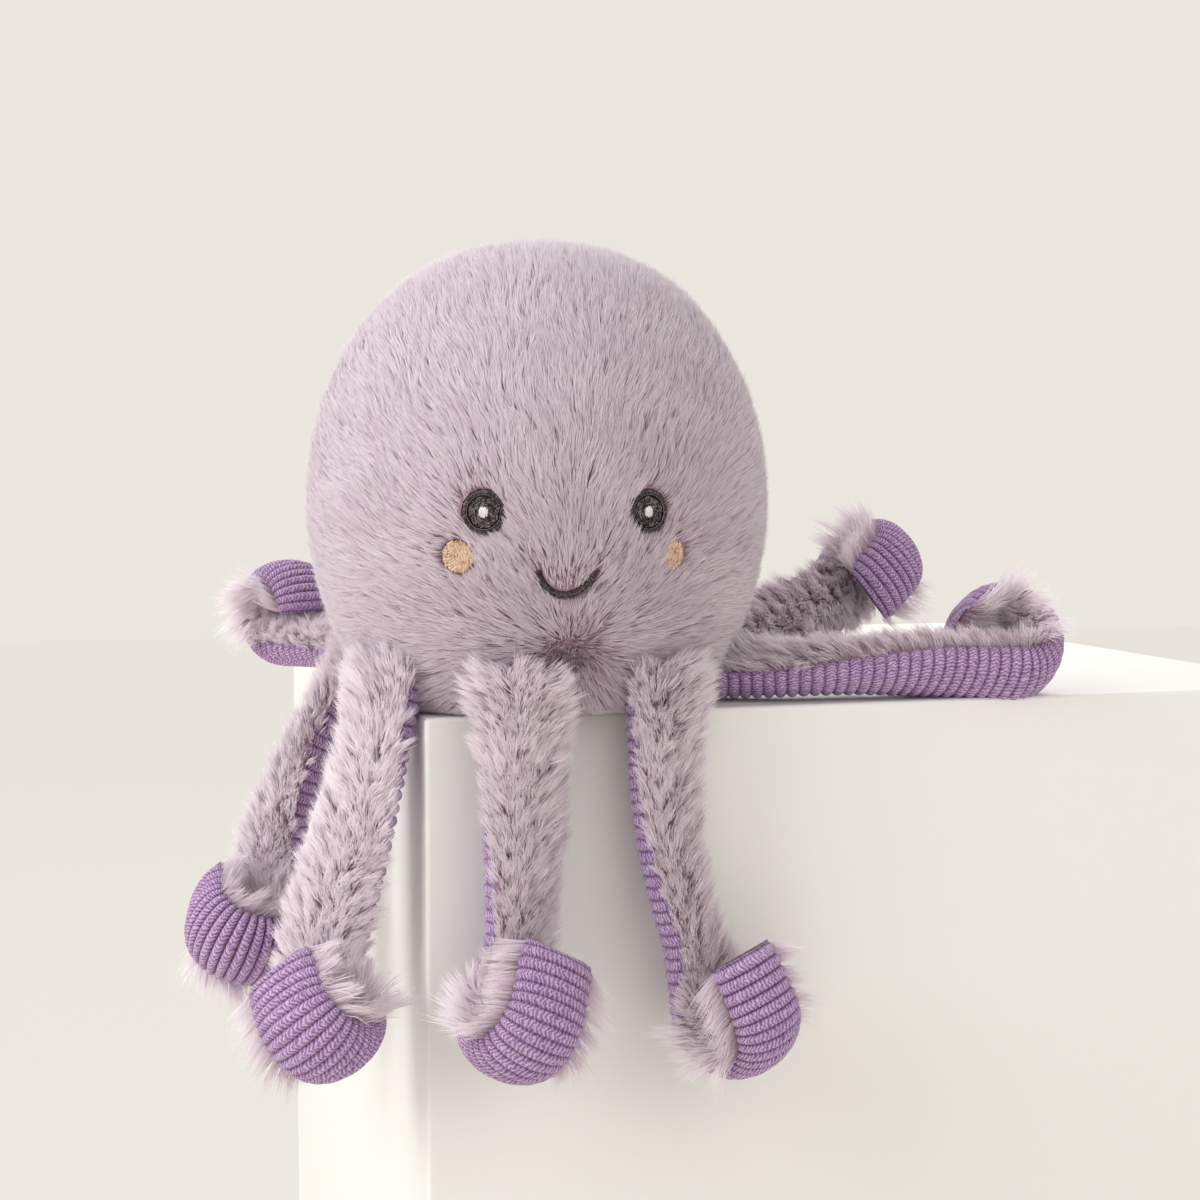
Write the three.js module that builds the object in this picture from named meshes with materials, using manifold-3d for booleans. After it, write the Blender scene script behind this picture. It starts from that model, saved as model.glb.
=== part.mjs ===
// A plush octopus that sits at the edge of a shelf: one round fur head and eight limbs sewn round its
// underside. Each limb is a strip of fur sewn to a strip of corduroy round a soft filling, and its end is
// curled back onto the fur side.
// Millimetres, +Z up, the face looks towards -Y, and the origin is the middle of the flat seat.

import * as THREE from 'three';
import { mergeVertices } from 'three/addons/utils/BufferGeometryUtils.js';
import Module from 'manifold-3d';

const wasm = await Module();
wasm.setup();

const degrees = Math.PI / 180;

// Cloth and seams, in millimetres. The fur wall is the backing cloth with its pile pressed down.
const furWall = 2.6;
const cordWall = 1.8;
const seamGap = 0.3;

// Corners closer than this share of a seam's gap are one corner.
const weldShare = 0.001;

// Head, which is also the body. The powers give the roundness of its crown and chin.
const headRadius = 86;
const headHeight = 171;
const widestHeight = 75;
const seatRadius = 46;
const crownPower = 2.2;
const chinPower = 1.8;
const headSides = 28;
const crownSteps = 8;
const chinSteps = 6;

// Limbs. A lying limb's underside is a little above the seat, and the root lies under the head's curve.
const limbHalfWidth = 15;
const limbHalfThickness = 9;
const limbLift = 1;
const rootLength = 24;
const spanLength = 68;
const hookLength = 28;
const curlRadius = 15;
const tipLength = 18;
const ringAngle = -12.5;
const highestLiftAngle = 45;
const socketSteps = 4;

// The hinges lie at this share of the way from the seat's rim to the head's widest line.
const hingeShare = 0.6;

// Embroidery, stitched into a shallow recess in the fur.
const stitchDepth = 1.5;
const stitchReach = 14;
const eyeRadius = 8.1;
const eyeOutline = 1.1;
const glintHalfWidth = 1.8;
const glintHalfHeight = 2.3;
const eyeHeight = 74.8;
const eyeAngle = 19.8;
const cheekRadius = 6.2;
const cheekHeight = 59;
const cheekAngle = 26.5;
const smileRadius = 10.4;
const smileThread = 2.1;
const smileHeight = 55.8;
const smileAngle = 82;
const stitchSides = 14;

// One row for each limb, in the order in which they stand round the head, as it lies in its resting place:
// its length and its straight tip as shares of the named lengths, how far it drops from level at its root,
// how it leans and bows along its span, how its end hooks sideways and curls back onto the fur side, and how
// it twists along its root, its span and its hook, in degrees.
const limbs = [
  {
    name: 'front_left', lengthShare: 0.94, tipShare: 1.1, drop: 90, lean: -5, bow: 0, hook: -25, curl: 195,
    twists: [-30, -40, 34],
  },
  {
    name: 'front_right', lengthShare: 1.02, tipShare: 1.1, drop: 90, lean: 9, bow: 14, hook: 0, curl: 190,
    twists: [-8, -27, 35],
  },
  {
    name: 'right_front', lengthShare: 0.98, tipShare: 0.7, drop: -2, lean: 18, bow: 0, hook: 0, curl: 215,
    twists: [0, -38, 0],
  },
  {
    name: 'right_back', lengthShare: 1.05, tipShare: 1, drop: -10, lean: 6, bow: 0, hook: 24, curl: 195,
    twists: [0, 75, 0],
  },
  {
    name: 'back_right', lengthShare: 1, tipShare: 0.5, drop: 0, lean: 0, bow: 0, hook: 0, curl: 220,
    twists: [0, 0, 0],
  },
  {
    name: 'back_left', lengthShare: 0.88, tipShare: 0.15, drop: 0, lean: 0, bow: 0, hook: 0, curl: 262,
    twists: [0, 0, 0],
  },
  {
    name: 'left_back', lengthShare: 0.92, tipShare: 0.9, drop: 58, lean: 0, bow: -18, hook: 74, curl: 205,
    twists: [0, -45, 0],
  },
  {
    name: 'left_front', lengthShare: 1.02, tipShare: 0.9, drop: 74, lean: -12, bow: -6, hook: 56, curl: 205,
    twists: [0, -28, 0],
  },
];

// How far each limb swells and tapers: shares of its half width and half thickness at the hinge and at the
// far end of each stretch, and the steps in which each stretch is drawn.
const stretchShares = [
  { part: 'root', steps: 2, widthShare: 0.96, thicknessShare: 1 },
  { part: 'span', steps: 3, widthShare: 0.98, thicknessShare: 0.94 },
  { part: 'hook', steps: 3, widthShare: 1.06, thicknessShare: 1.1 },
  { part: 'curl', steps: 7, widthShare: 1, thicknessShare: 0.74 },
  { part: 'tip', steps: 1, widthShare: 1, thicknessShare: 0.56 },
];
const rootWidthShare = 0.94;

// The corduroy wraps past a limb's widest line, up to this share of its half thickness on the fur side.
const seamShare = 0.25;

// Each step is worked out in this many small turns, and the arches of a strip are drawn in these steps.
const strides = 6;
const furArch = { outerSteps: 5, innerSteps: 3 };
const cordArch = { outerSteps: 6, innerSteps: 4 };

// The rounded end of a limb lies behind its hinge, at these shares of the half thickness.
const noseShares = [0.85, 0.5];

const furColour = '#c3b0c0';
const cordColour = '#a88ac0';
const fillingColour = '#efece6';
const threadColour = '#3a3436';
const glintColour = '#f6f4f1';
const cheekColour = '#e6b98a';
const clothRoughness = 0.95;
const threadRoughness = 0.7;

const hingeRadius = seatRadius + (headRadius - seatRadius) * hingeShare;
const hingeHeight = limbHalfThickness + limbLift;
const openingRadius = seatRadius - furWall;

const octopus = new THREE.Group();

function addPiece(name, geometry, colour, roughness) {
  const material = new THREE.MeshStandardMaterial({ color: colour, roughness, metalness: 0 });
  const mesh = new THREE.Mesh(geometry, material);
  mesh.name = name;
  octopus.add(mesh);
}

// Joins shared corners and drops the empty triangles that a lathe leaves on its axis.
function closedGeometry(geometry) {
  const bare = new THREE.BufferGeometry();
  bare.setAttribute('position', geometry.getAttribute('position').clone());
  bare.setIndex(geometry.index ? geometry.index.clone() : null);
  const merged = mergeVertices(bare, seamGap * weldShare);
  const corners = [...merged.index.array];
  const kept = [];
  for (let first = 0; first < corners.length; first += 3) {
    const [a, b, c] = corners.slice(first, first + 3);
    if (a !== b && b !== c && c !== a) kept.push(a, b, c);
  }
  merged.setIndex(kept);
  return merged;
}

function solidOf(geometry) {
  const closed = closedGeometry(geometry);
  const mesh = new wasm.Mesh({
    numProp: 3,
    vertProperties: new Float32Array(closed.getAttribute('position').array),
    triVerts: new Uint32Array(closed.index.array),
  });
  return new wasm.Manifold(mesh);
}

function geometryOf(solid) {
  const mesh = solid.getMesh();
  const geometry = new THREE.BufferGeometry();
  geometry.setAttribute('position', new THREE.BufferAttribute(mesh.vertProperties, 3));
  geometry.setIndex(new THREE.BufferAttribute(mesh.triVerts, 1));
  return geometry;
}

// Head

// The solid of the head, grown by a distance (or shrunk, where it is negative), with a flat underside.
function headSolid(growth) {
  const points = [new THREE.Vector2(0, -growth)];
  const belly = headRadius - seatRadius;
  const chinHeight = widestHeight + growth;
  const crownHeight = headHeight - widestHeight + growth;
  for (let step = 0; step < chinSteps; step += 1) {
    const angle = (step / chinSteps) * 90 * degrees;
    const outward = Math.sin(angle) ** (2 / chinPower);
    const downward = Math.cos(angle) ** (2 / chinPower);
    const reach = seatRadius + growth + belly * outward;
    points.push(new THREE.Vector2(reach, widestHeight - chinHeight * downward));
  }
  for (let step = 0; step < crownSteps; step += 1) {
    const angle = (step / crownSteps) * 90 * degrees;
    const outward = Math.cos(angle) ** (2 / crownPower);
    const upward = Math.sin(angle) ** (2 / crownPower);
    points.push(new THREE.Vector2((headRadius + growth) * outward, widestHeight + crownHeight * upward));
  }
  points.push(new THREE.Vector2(0, headHeight + growth));
  const lathe = new THREE.LatheGeometry(points, headSides);
  lathe.rotateX(90 * degrees);
  return solidOf(lathe);
}

function standingDrum(radius, low, high) {
  const drum = new THREE.CylinderGeometry(radius, radius, high - low, headSides);
  drum.rotateX(90 * degrees);
  drum.translate(0, 0, (low + high) / 2);
  return solidOf(drum);
}

// A prism whose outline faces outwards at a turn round the head and a height above the seat.
function facingPrism(shape, turn, height) {
  const outward = new THREE.Vector3(Math.sin(turn * degrees), -Math.cos(turn * degrees), 0);
  const sideways = new THREE.Vector3(Math.cos(turn * degrees), Math.sin(turn * degrees), 0);
  const upward = new THREE.Vector3(0, 0, 1);
  const prism = new THREE.ExtrudeGeometry(shape, { depth: 2 * stitchReach, bevelEnabled: false });
  const place = new THREE.Matrix4().makeBasis(sideways, upward, outward);
  place.setPosition(outward.clone().multiplyScalar(headRadius - stitchReach).setZ(height));
  prism.applyMatrix4(place);
  return solidOf(prism);
}

function ovalShape(halfWidth, halfHeight) {
  const points = [];
  for (let side = 0; side < stitchSides; side += 1) {
    const angle = (side / stitchSides) * 360 * degrees;
    points.push(new THREE.Vector2(halfWidth * Math.cos(angle), halfHeight * Math.sin(angle)));
  }
  return new THREE.Shape(points);
}

function smileShape(halfThread) {
  const points = [];
  const sweep = smileAngle * degrees + (halfThread - smileThread / 2) / smileRadius;
  for (let side = 0; side <= stitchSides; side += 1) {
    const angle = -90 * degrees - sweep + (side / stitchSides) * 2 * sweep;
    const reach = smileRadius + halfThread;
    points.push(new THREE.Vector2(reach * Math.cos(angle), reach * Math.sin(angle)));
  }
  for (let side = stitchSides; side >= 0; side -= 1) {
    const angle = -90 * degrees - sweep + (side / stitchSides) * 2 * sweep;
    const reach = smileRadius - halfThread;
    points.push(new THREE.Vector2(reach * Math.cos(angle), reach * Math.sin(angle)));
  }
  return new THREE.Shape(points);
}

// The space that a limb's root sweeps as it turns about its hinge, as an outline in the limb's upright
// plane, extruded across the limb's width.
function socketSolid(limb) {
  const clear = limbHalfThickness + seamGap;
  const halfWidth = limbHalfWidth + 2 * seamGap;
  const reach = headRadius;
  const lift = highestLiftAngle * degrees;
  const outline = new THREE.Shape();
  outline.moveTo(-clear, -reach);
  outline.lineTo(-clear, 0);
  outline.absarc(0, 0, clear, 180 * degrees, 90 * degrees + lift, true);
  const farOut = reach * Math.cos(lift) - clear * Math.sin(lift);
  const farUp = reach * Math.sin(lift) + clear * Math.cos(lift);
  outline.lineTo(farOut, farUp);
  outline.lineTo(reach, -reach);
  const settings = { depth: 2 * halfWidth, bevelEnabled: false, curveSegments: socketSteps };
  const sweep = new THREE.ExtrudeGeometry(outline, settings);
  sweep.translate(0, 0, -halfWidth);
  const { outward, across } = limbDirections(limb);
  const place = new THREE.Matrix4().makeBasis(outward, new THREE.Vector3(0, 0, 1), across);
  place.setPosition(outward.clone().multiplyScalar(hingeRadius).setZ(hingeHeight));
  sweep.applyMatrix4(place);
  return solidOf(sweep);
}

function limbDirections(limb) {
  const turn = (ringAngle + (limbs.indexOf(limb) * 360) / limbs.length) * degrees;
  const outward = new THREE.Vector3(Math.sin(turn), -Math.cos(turn), 0);
  const across = outward.clone().cross(new THREE.Vector3(0, 0, 1));
  return { outward, across };
}

function cutSockets(solid) {
  let cut = solid;
  for (const limb of limbs) cut = cut.subtract(socketSolid(limb));
  return cut;
}

const pressedFur = headSolid(0).subtract(headSolid(-stitchDepth));
const furUnderStitches = headSolid(-stitchDepth - seamGap);

// A layer of thread that fills its recess up to the pressed fur.
function stitchedLayer(prism) {
  return pressedFur.intersect(prism);
}

const faceSides = [
  { side: 'left', turnSign: -1 },
  { side: 'right', turnSign: 1 },
];
const recesses = [];
for (const { side, turnSign } of faceSides) {
  const eyePrism = (halfWidth, halfHeight) => (
    facingPrism(ovalShape(halfWidth, halfHeight), turnSign * eyeAngle, eyeHeight)
  );
  const cheekPrism = (radius) => facingPrism(ovalShape(radius, radius), turnSign * cheekAngle, cheekHeight);
  const ringHoleRadius = eyeRadius - eyeOutline;
  const eyeFillRadius = ringHoleRadius - seamGap;
  const ring = eyePrism(eyeRadius, eyeRadius).subtract(eyePrism(ringHoleRadius, ringHoleRadius));
  const fill = eyePrism(eyeFillRadius, eyeFillRadius).subtract(eyePrism(glintHalfWidth, glintHalfHeight));
  const glint = eyePrism(glintHalfWidth - seamGap, glintHalfHeight - seamGap);
  addPiece(`eye_ring_${side}`, geometryOf(stitchedLayer(ring)), threadColour, threadRoughness);
  addPiece(`eye_${side}`, geometryOf(stitchedLayer(fill)), threadColour, threadRoughness);
  addPiece(`eye_glint_${side}`, geometryOf(stitchedLayer(glint)), glintColour, threadRoughness);
  addPiece(`cheek_${side}`, geometryOf(stitchedLayer(cheekPrism(cheekRadius))), cheekColour, threadRoughness);
  recesses.push(eyePrism(eyeRadius + seamGap, eyeRadius + seamGap));
  recesses.push(cheekPrism(cheekRadius + seamGap));
}
const smile = facingPrism(smileShape(smileThread / 2), 0, smileHeight);
addPiece('smile', geometryOf(stitchedLayer(smile)), threadColour, threadRoughness);
recesses.push(facingPrism(smileShape(smileThread / 2 + seamGap), 0, smileHeight));

// The cover is a shell with an opening in its underside for the base panel, in two halves that meet at
// the seam over the crown.
const coverOpening = standingDrum(openingRadius, -furWall, 2 * furWall);
let cover = headSolid(0).subtract(headSolid(-furWall)).subtract(coverOpening);
for (const recess of recesses) cover = cover.subtract(recess.subtract(furUnderStitches));
cover = cutSockets(cover);

for (const [name, sign] of [['head_cover_front', -1], ['head_cover_back', 1]]) {
  const room = 2 * headHeight;
  const half = new THREE.BoxGeometry(room, room, room);
  half.translate(0, (sign * (room + seamGap)) / 2, 0);
  addPiece(name, geometryOf(cover.intersect(solidOf(half))), furColour, clothRoughness);
}

const basePanel = standingDrum(openingRadius - seamGap, 0, furWall);
addPiece('base_panel', geometryOf(basePanel), cordColour, clothRoughness);

const fillingShell = headSolid(-furWall - seamGap);
addPiece('head_filling', geometryOf(cutSockets(fillingShell)), fillingColour, clothRoughness);

// Limbs

function movedFrame(frame, distance, bend, sway, twist) {
  const across = frame.along.clone().cross(frame.up);
  const along = frame.along.clone().applyAxisAngle(across, bend);
  const up = frame.up.clone().applyAxisAngle(across, bend);
  along.applyAxisAngle(up, sway);
  up.applyAxisAngle(along, twist);
  const middle = along.clone().add(frame.along).multiplyScalar(distance / 2);
  return { at: frame.at.clone().add(middle), along, up };
}

// The rings of a limb from its rounded root to its tip: each has a place, a heading, the direction of its
// fur side, and its half width and half thickness.
function limbRings(limb) {
  const { outward, across } = limbDirections(limb);
  const along = outward.clone().applyAxisAngle(across, -limb.drop * degrees);
  const up = new THREE.Vector3(0, 0, 1).applyAxisAngle(across, -limb.drop * degrees);
  const hinge = outward.clone().multiplyScalar(hingeRadius).setZ(hingeHeight);
  const rings = [];
  for (const share of noseShares) {
    const at = hinge.clone().addScaledVector(along, -share * limbHalfThickness);
    const halfThickness = limbHalfThickness * Math.sqrt(1 - share * share);
    rings.push({ at, along, up, halfWidth: limbHalfWidth * rootWidthShare, halfThickness });
  }
  let frame = { at: hinge, along, up };
  let halfWidth = limbHalfWidth * rootWidthShare;
  let halfThickness = limbHalfThickness;
  rings.push({ ...frame, halfWidth, halfThickness });
  const [rootTwist, spanTwist, hookTwist] = limb.twists;
  const travel = {
    root: { length: rootLength, bend: 0, sway: 0, twist: rootTwist },
    span: { length: spanLength * limb.lengthShare, bend: limb.bow, sway: limb.lean, twist: spanTwist },
    hook: { length: hookLength * limb.lengthShare, bend: 0, sway: limb.hook, twist: hookTwist },
    curl: { length: curlRadius * limb.curl * degrees, bend: limb.curl, sway: 0, twist: 0 },
    tip: { length: tipLength * limb.tipShare, bend: 0, sway: 0, twist: 0 },
  };
  for (const { part, steps, widthShare, thicknessShare } of stretchShares) {
    const { length, bend, sway, twist } = travel[part];
    const count = steps * strides;
    const turnEach = degrees / count;
    const wideStart = halfWidth;
    const thickStart = halfThickness;
    for (let stride = 1; stride <= count; stride += 1) {
      frame = movedFrame(frame, length / count, bend * turnEach, sway * turnEach, twist * turnEach);
      if (stride % strides === 0) {
        const share = stride / count;
        halfWidth = wideStart + (limbHalfWidth * widthShare - wideStart) * share;
        halfThickness = thickStart + (limbHalfThickness * thicknessShare - thickStart) * share;
        rings.push({ ...frame, halfWidth, halfThickness });
      }
    }
  }
  return rings;
}

// The part of an oval from one seam to the other, over the fur side (side 1) or the cord side (side -1).
function ovalArch(halfWidth, halfThickness, seamHeight, side, steps) {
  const rise = Math.asin(seamHeight / halfThickness);
  const sweep = 180 * degrees - 2 * side * rise;
  const points = [];
  for (let step = 0; step <= steps; step += 1) {
    const angle = rise + side * sweep * (step / steps);
    points.push([halfWidth * Math.cos(angle), halfThickness * Math.sin(angle)]);
  }
  return points;
}

// The arch along the inside of a strip's wall, drawn in by a further distance.
function innerArch(ring, inset, further, side) {
  const seamHeight = ring.halfThickness * seamShare + (side * seamGap) / 2;
  const thickness = ring.halfThickness - inset;
  const { innerSteps } = side > 0 ? furArch : cordArch;
  const arch = ovalArch(ring.halfWidth - inset, thickness, seamHeight, side, innerSteps);
  const wideShare = (ring.halfWidth - furWall - further) / (ring.halfWidth - inset);
  const thickShare = (thickness - further) / thickness;
  return further === 0 ? arch : arch.map(([x, y]) => [x * wideShare, y * thickShare]);
}

// A strip wraps the filling on one side: side is 1 for the fur strip and -1 for the corduroy strip.
function stripSection(ring, wall, side) {
  const seamHeight = ring.halfThickness * seamShare + (side * seamGap) / 2;
  const { outerSteps } = side > 0 ? furArch : cordArch;
  const outer = ovalArch(ring.halfWidth, ring.halfThickness, seamHeight, side, outerSteps);
  const inner = innerArch(ring, wall, 0, side).reverse();
  const outline = [...outer, ...inner];
  return side > 0 ? outline : outline.reverse();
}

// The filling keeps clear of both walls, and of the fur strip's edge where the corduroy wraps past it.
function fillingSection(ring) {
  const top = innerArch(ring, furWall, seamGap, 1);
  const bottom = innerArch(ring, cordWall, seamGap, -1).reverse();
  return [...top, ...bottom];
}

// Draws a section along the rings and closes both ends. Each four-cornered face is split the same way
// across the limb, so that the faces of neighbouring pieces stay alongside where the limb twists.
function sweptGeometry(rings, sectionOf) {
  const sections = rings.map(sectionOf);
  const sides = sections[0].length;
  const positions = [];
  rings.forEach((ring, index) => {
    const across = ring.along.clone().cross(ring.up);
    for (const [x, y] of sections[index]) {
      const corner = ring.at.clone().addScaledVector(across, x).addScaledVector(ring.up, y);
      positions.push(corner.x, corner.y, corner.z);
    }
  });
  const corners = [];
  for (let ring = 0; ring + 1 < rings.length; ring += 1) {
    for (let side = 0; side < sides; side += 1) {
      const next = (side + 1) % sides;
      const a = ring * sides + side;
      const b = ring * sides + next;
      const rising = sections[ring][next][0] > sections[ring][side][0];
      if (rising) corners.push(a, a + sides, b + sides, a, b + sides, b);
      else corners.push(a, a + sides, b, b, a + sides, b + sides);
    }
  }
  const ends = [[0, false], [rings.length - 1, true]];
  for (const [ring, facesOn] of ends) {
    const contour = sections[ring].map(([x, y]) => new THREE.Vector2(x, y));
    const faces = THREE.ShapeUtils.triangulateShape(contour, []);
    for (const [a, b, c] of faces) {
      const face = facesOn ? [a, c, b] : [a, b, c];
      corners.push(...face.map((corner) => corner + ring * sides));
    }
  }
  const geometry = new THREE.BufferGeometry();
  geometry.setAttribute('position', new THREE.Float32BufferAttribute(positions, 3));
  geometry.setIndex(corners);
  return geometry;
}

for (const limb of limbs) {
  const rings = limbRings(limb);
  const fur = sweptGeometry(rings, (ring) => stripSection(ring, furWall, 1));
  const cord = sweptGeometry(rings, (ring) => stripSection(ring, cordWall, -1));
  const filling = sweptGeometry(rings, fillingSection);
  addPiece(`limb_${limb.name}_fur`, fur, furColour, clothRoughness);
  addPiece(`limb_${limb.name}_corduroy`, cord, cordColour, clothRoughness);
  addPiece(`limb_${limb.name}_filling`, filling, fillingColour, clothRoughness);
}

export default octopus;
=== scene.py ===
# %% [markdown]
# # A plush octopus at a shelf's corner
# The toy is a stuffed ball of faux fur with a stitched face, over eight limbs. Each limb is a strip of fur
# sewn to a strip of wide corduroy, and its end is curled back onto the fur side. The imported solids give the
# sizes and places, and this file gives them cloth, pile and thread. Everything is in metres, +Z is up, and
# the face looks towards -Y.

# %% Load the frame
import math

import bmesh
import bpy
import numpy as np
from mathutils import Matrix, Vector
from mathutils.kdtree import KDTree


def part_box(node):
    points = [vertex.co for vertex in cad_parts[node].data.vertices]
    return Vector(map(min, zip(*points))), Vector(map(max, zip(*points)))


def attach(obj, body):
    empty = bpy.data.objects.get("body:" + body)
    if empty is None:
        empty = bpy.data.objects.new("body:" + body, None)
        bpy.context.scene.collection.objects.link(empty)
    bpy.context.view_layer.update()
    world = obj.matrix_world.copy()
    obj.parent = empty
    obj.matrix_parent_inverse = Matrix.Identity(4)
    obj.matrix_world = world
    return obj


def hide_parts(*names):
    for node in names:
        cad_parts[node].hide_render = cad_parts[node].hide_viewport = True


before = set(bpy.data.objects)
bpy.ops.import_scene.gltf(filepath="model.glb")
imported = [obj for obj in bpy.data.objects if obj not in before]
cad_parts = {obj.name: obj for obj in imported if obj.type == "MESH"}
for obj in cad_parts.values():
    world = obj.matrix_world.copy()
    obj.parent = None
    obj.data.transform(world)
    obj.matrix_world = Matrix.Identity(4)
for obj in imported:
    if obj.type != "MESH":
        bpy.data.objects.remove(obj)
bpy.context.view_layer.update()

mm = 0.001

# %% [markdown]
# ## The camera
# A photograph can be matched by hand or by solving for the camera. Here the shelf's edges and the face gave
# its place, its aim and its focal length in pixels, and the lens follows from the width of the sensor.

# %% Stand the camera where the photograph was taken
scene = bpy.context.scene
photo_width_px = 1200
focal_length_px = 1939
camera_place = Vector((-96.3, -752.0, 89.0)) * mm
camera_yaw = math.radians(9.15)
camera_pitch = math.radians(3.8)

camera_data = bpy.data.cameras.new("camera")
camera_data.sensor_width = 36.0
camera_data.lens = focal_length_px / photo_width_px * camera_data.sensor_width
camera_data.clip_start = 0.01
camera = bpy.data.objects.new("camera", camera_data)
camera.location = camera_place
camera.rotation_euler = (math.radians(90) - camera_pitch, 0, -camera_yaw)
scene.collection.objects.link(camera)
scene.camera = camera
scene.view_settings.view_transform = "Standard"
print("lens", round(camera_data.lens, 1), "mm")

# %% [markdown]
# ## Helpers for materials
# A material is a small graph of nodes. One function adds a node, sets its properties and joins its inputs, so
# that each material reads as a list of what it is made of. Another ends every cloth and painted surface: its
# bumps, its shader and the output. Colours are written as they look on a screen, in sRGB, and turned to the
# linear values that light is worked out in.

# %% Colours and nodes
def linear(code):
    """The linear colour of an sRGB hex code."""
    shares = [int(code[place:place + 2], 16) / 255 for place in (1, 3, 5)]
    return [s / 12.92 if s <= 0.04045 else ((s + 0.055) / 1.055) ** 2.4 for s in shares] + [1]


def add_node(tree, kind, inputs=None, stops=None, **settings):
    """Adds a node. Settings are its properties, stops its colour ramp, and inputs are values or outputs."""
    made = tree.nodes.new(kind)
    for name, value in settings.items():
        setattr(made, name, value)
    for name, value in (inputs or {}).items():
        if isinstance(value, bpy.types.NodeSocket):
            tree.links.new(value, made.inputs[name])
        else:
            made.inputs[name].default_value = value
    if stops:
        ramp = made.color_ramp
        while len(ramp.elements) < len(stops):
            ramp.elements.new(1)
        for element, (place, code) in zip(ramp.elements, stops):
            element.position = place
            element.color = linear(code)
    return made


def new_material(name):
    """An empty material and its tree."""
    material = bpy.data.materials.new(name)
    material.use_nodes = True
    material.node_tree.nodes.clear()
    return material, material.node_tree


def bumped_surface(tree, colour, height, strength, depth, surface):
    """Ends a material with a shader that has a colour, bumps of a depth and other surface settings."""
    bump = add_node(tree, "ShaderNodeBump", {"Height": height, "Strength": strength, "Distance": depth})
    shader = add_node(tree, "ShaderNodeBsdfPrincipled", {
        "Base Color": colour, "Normal": bump.outputs["Normal"], **surface})
    add_node(tree, "ShaderNodeOutputMaterial", {"Surface": shader.outputs["BSDF"]})


# %% [markdown]
# ## Acrylic pile
# Faux fur is acrylic fibre knitted into a backing. Each fibre is dyed evenly, yet looks dark near its root,
# where its neighbours shade it, and pale at its tip, where it thins out. The pile is made as thousands of
# flat blades, so its colour is looked up on a small map of its own: across it goes the tone of a blade, from
# mauve to pale lilac, and up it goes the way from root to tip. Thread uses the same map.

# %% Fibres coloured by tone and by the way from root to tip
fibre_map = "OFBake"


def fibre_material(name, dark_stops, pale_stops, surface, light_through=0.0):
    """A material whose colour runs between two ramps from root to tip, by the fibre's tone."""
    material, tree = new_material(name)
    place = add_node(tree, "ShaderNodeUVMap", uv_map=fibre_map)
    parts = add_node(tree, "ShaderNodeSeparateXYZ", {"Vector": place.outputs["UV"]})
    dark = add_node(tree, "ShaderNodeValToRGB", {"Fac": parts.outputs["Y"]}, stops=dark_stops)
    pale = add_node(tree, "ShaderNodeValToRGB", {"Fac": parts.outputs["Y"]}, stops=pale_stops)
    mixed = add_node(tree, "ShaderNodeMix", {0: parts.outputs["X"], 6: dark.outputs["Color"],
                                             7: pale.outputs["Color"]}, data_type="RGBA")
    shader = add_node(tree, "ShaderNodeBsdfPrincipled", {"Base Color": mixed.outputs[2], **surface})
    shown = shader.outputs["BSDF"]
    if light_through:
        glow = add_node(tree, "ShaderNodeBsdfTranslucent", {"Color": mixed.outputs[2]})
        both = add_node(tree, "ShaderNodeMixShader", {0: light_through, 1: shown, 2: glow.outputs["BSDF"]})
        shown = both.outputs["Shader"]
    add_node(tree, "ShaderNodeOutputMaterial", {"Surface": shown})
    return material


# %% Acrylic pile, paler on the limbs: matt, with a soft sheen, and some light comes through
pile_surface = {"Roughness": 0.75, "Specular IOR Level": 0.3, "Sheen Weight": 0.45, "Sheen Roughness": 0.5}
head_pile_material = fibre_material(
    "acrylic_pile_short",
    [(0.0, "#a27a8f"), (0.4, "#c3aaba"), (1.0, "#d8cad4")],
    [(0.0, "#c4a3b5"), (0.4, "#e5d7e0"), (1.0, "#f5eef3")], pile_surface, light_through=0.25)
limb_pile_material = fibre_material(
    "acrylic_pile_long",
    [(0.0, "#ceadbe"), (0.4, "#e5cfdb"), (1.0, "#f2e6ed")],
    [(0.0, "#e7d0dd"), (0.4, "#f9eff5"), (1.0, "#fffbfe")], pile_surface, light_through=0.28)

# %% [markdown]
# ## Backing cloth
# Under the pile lies the knitted backing. It shows only between the fibres, where they shade it, so it is
# coloured a darker mauve as painted shade, matt and mottled at the scale of the tufts.

# %% Knitted cloth mottled by noise
tuft_size = 1.5 * mm
matt_cloth = {"Roughness": 0.9, "Specular IOR Level": 0.2}


def knitted_cloth(name):
    material, tree = new_material(name)
    place = add_node(tree, "ShaderNodeTexCoord")
    tufts = add_node(tree, "ShaderNodeTexNoise", {"Vector": place.outputs["Object"], "Scale": 1 / tuft_size,
                                                  "Detail": 3.0})
    colour = add_node(tree, "ShaderNodeValToRGB", {"Fac": tufts.outputs["Fac"]},
                      # Painted shade: the backing is coloured darker than the pile's tips, as the gaps between
                      # the fibres look.
                      stops=[(0.3, "#ad8699"), (0.7, "#c9a9ba")])
    bumped_surface(tree, colour.outputs["Color"], tufts.outputs["Fac"], 0.4, tuft_size / 3, matt_cloth)
    return material


shaded_backing_material = knitted_cloth("knitted_backing")

# %% [markdown]
# ## How a blade of pile is made
# Real fibres are far too fine and too many, so each blade stands for a few of them. It starts as a grid one
# face wide and two long whose far edge is merged to a point. Copies of it are placed by arithmetic on whole
# arrays, which is thousands of times faster than one operator for each blade. A blade leaves its root along
# one direction and bends over to another, and its tip leans towards the tip of its clump. A flat blade would
# catch the light like a shard, so its corners take their shading mostly from the cloth that it stands on.
# The stitches of the face repeat a strip in the same way.

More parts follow.
